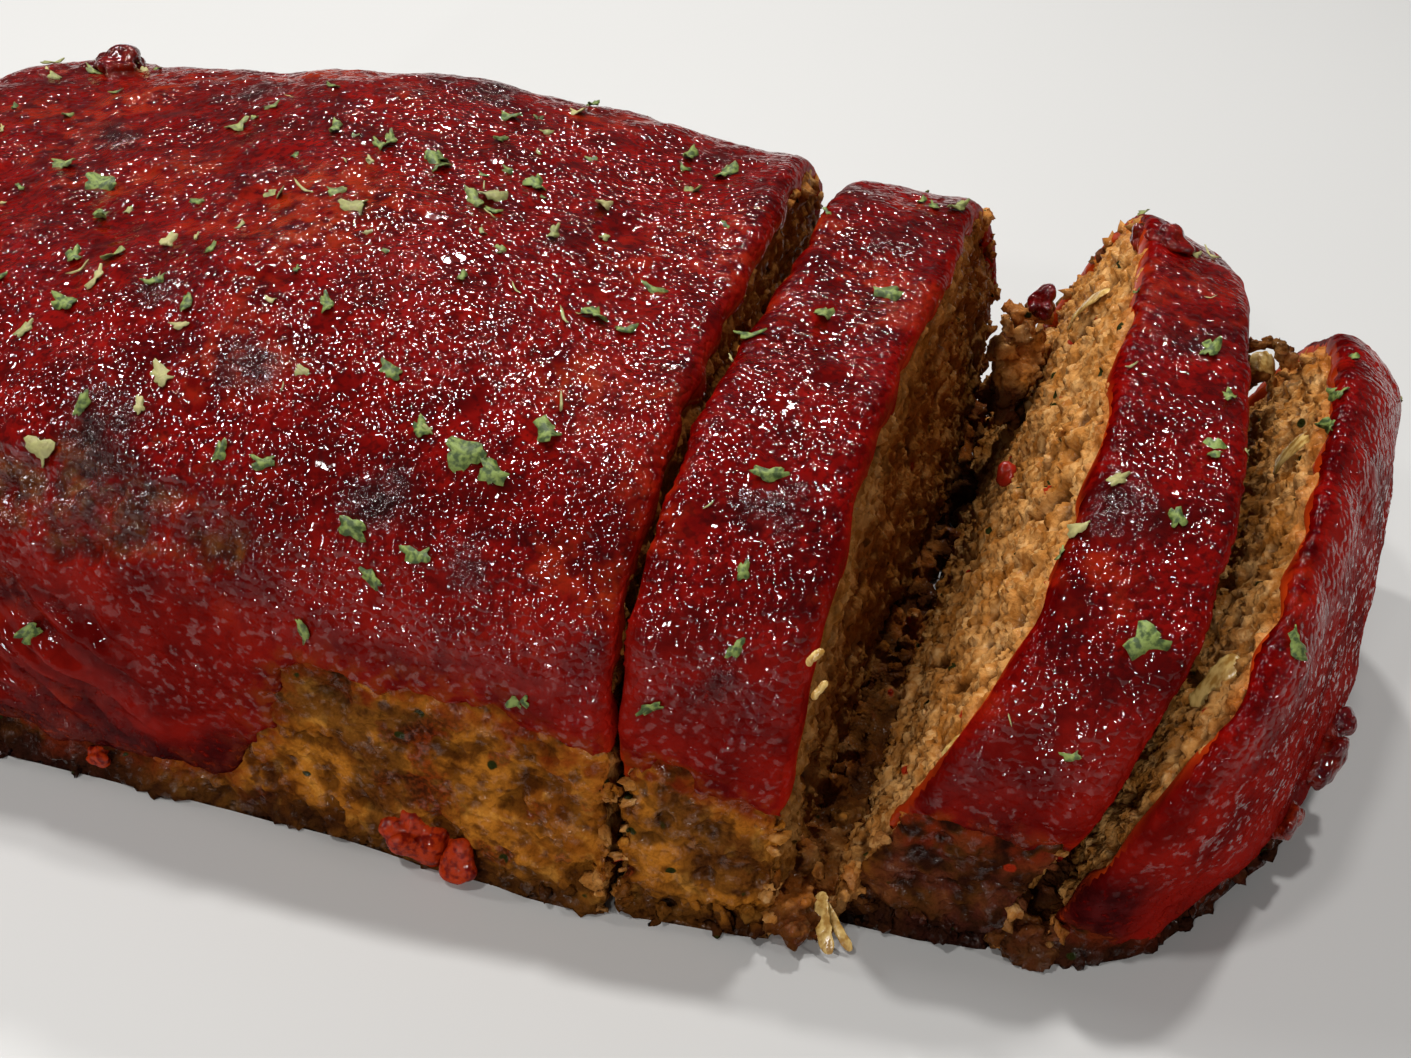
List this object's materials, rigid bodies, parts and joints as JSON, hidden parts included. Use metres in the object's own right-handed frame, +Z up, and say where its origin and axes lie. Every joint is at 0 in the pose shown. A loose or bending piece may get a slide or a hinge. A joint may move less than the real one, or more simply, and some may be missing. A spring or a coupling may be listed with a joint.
{
  "type": "glazed meatloaf with slices",
  "caption": "Free-formed meatloaf under a baked-on red glaze, part of it cut into upright and leaning slices that keep the loaf's shape.",
  "frame": {"origin": "centre of the footprint of the whole, on the surface that the loaf rests on", "axes": "+X along the loaf from the uncut block to the end slice, +Z up, -Y is the near side with the bare meat"},
  "size_m": [0.2185, 0.118, 0.0584],
  "materials": {
    "meat": "moist, coarse baked ground meat",
    "glaze": "glossy baked tomato glaze"
  },
  "bodies": {
    "root": {"block_meat": "meat", "block_glaze": "glaze", "slice_1_meat": "meat", "slice_1_glaze": "glaze", "slice_2_meat": "meat", "slice_2_glaze": "glaze", "end_slice_meat": "meat", "end_slice_glaze": "glaze"}
  },
  "joints": []
}
